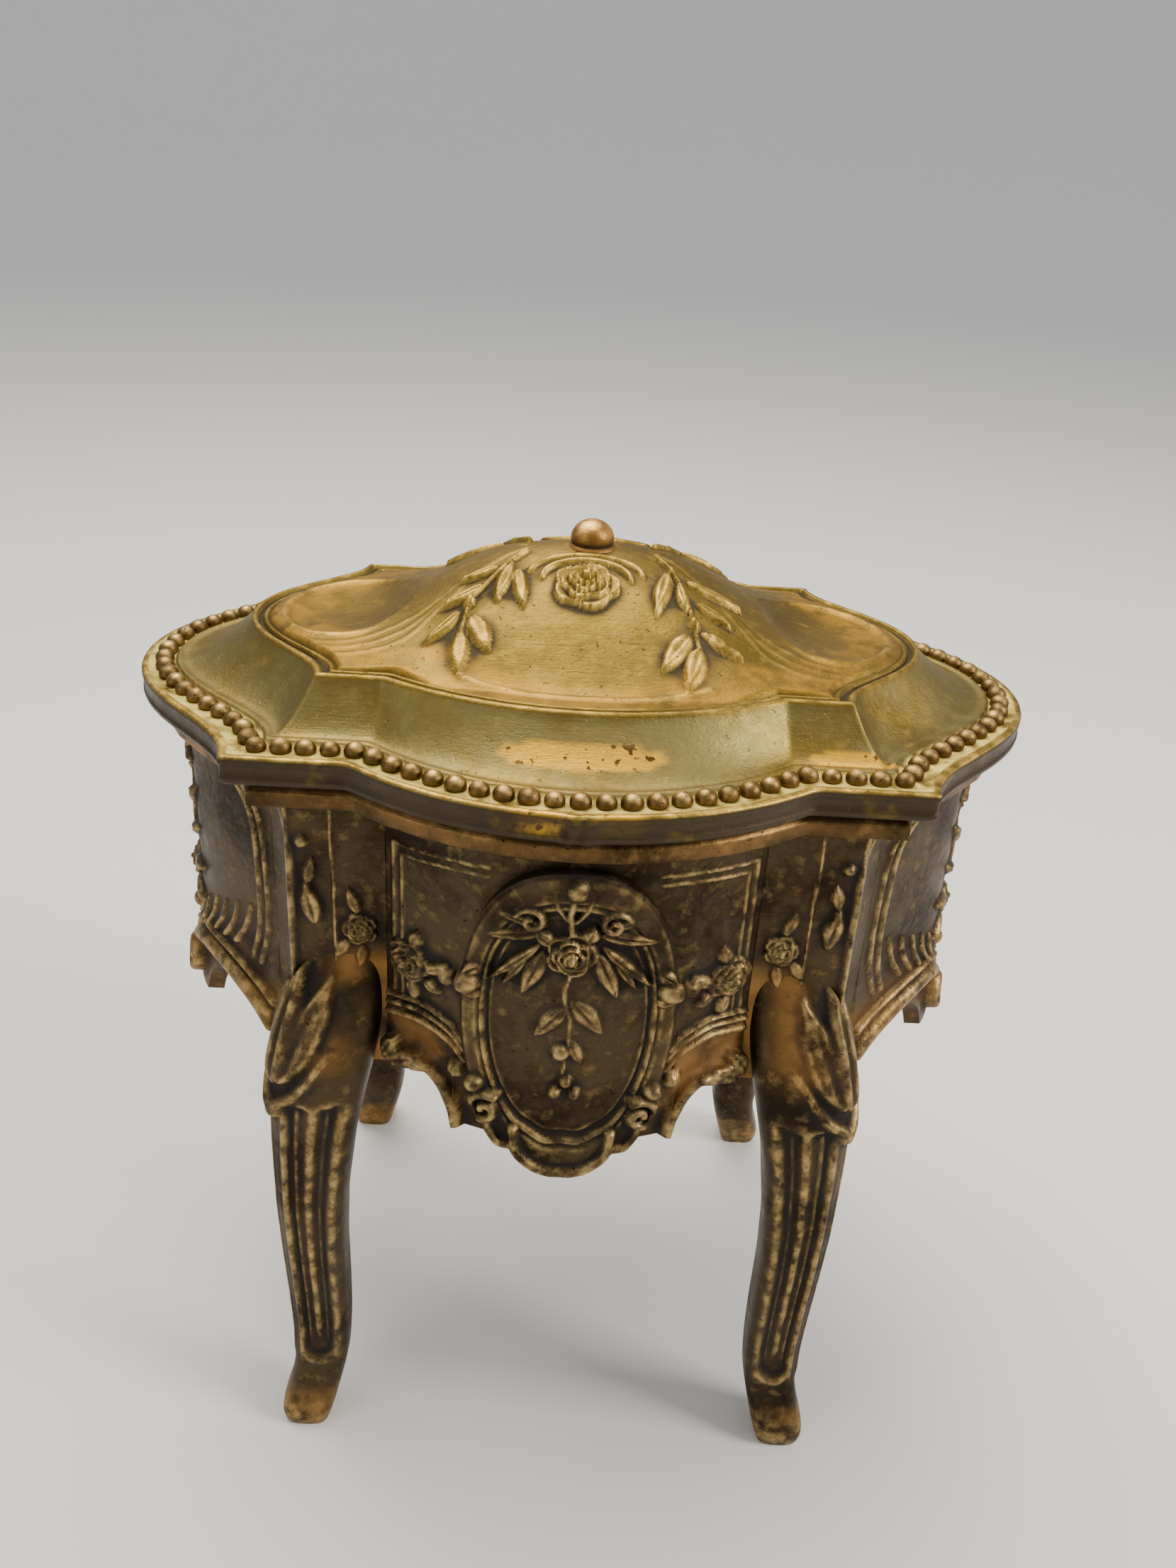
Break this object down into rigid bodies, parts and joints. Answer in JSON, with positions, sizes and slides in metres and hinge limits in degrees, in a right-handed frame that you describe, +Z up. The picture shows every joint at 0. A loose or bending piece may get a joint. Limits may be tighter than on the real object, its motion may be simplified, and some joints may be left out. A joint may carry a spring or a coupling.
{
  "type": "trinket box",
  "caption": "Cast brass casket shaped as a serpentine table on cabriole legs, with a domed beaded lid hinged at the back and a padded floor.",
  "frame": {"origin": "on the surface the box stands on, at the middle of the lid's plan", "axes": "+Z up, the front with its oval cartouche faces -Y, the hinge is at +Y, +X to the right seen from the front"},
  "size_m": [0.11, 0.0764, 0.121],
  "materials": {
    "cast_brass": "antique patinated",
    "dark_brass": "dull dark patina",
    "silk": "soft sheen"
  },
  "bodies": {
    "base": {"front_wall": "cast_brass", "back_wall": "cast_brass", "right_wall": "cast_brass", "left_wall": "cast_brass", "leg_front_left": "cast_brass", "leg_back_left": "cast_brass", "leg_front_right": "cast_brass", "leg_back_right": "cast_brass", "floor_plate": "dark_brass", "floor_screw_1": "dark_brass", "floor_screw_2": "dark_brass", "floor_screw_3": "dark_brass", "floor_screw_4": "dark_brass", "floor_cushion": "silk", "front_cartouche": "cast_brass", "rim_frame": "cast_brass", "hinge_body_leaf": "cast_brass", "hinge_pin": "dark_brass", "wall_rivet_left": "dark_brass", "wall_rivet_right": "dark_brass"},
    "lid": {"lid_shell": "cast_brass", "bead_border": "cast_brass", "finial": "cast_brass", "finial_nut": "dark_brass", "hinge_lid_leaf": "cast_brass", "lid_rivet_left": "dark_brass", "lid_rivet_right": "dark_brass"}
  },
  "joints": [
    {"name": "lid_hinge", "type": "hinge", "parent": "base", "child": "lid", "pos_m": [0, 0.0363, 0.0962], "axis": [-1, 0, 0], "range_deg": [0, 105]}
  ]
}
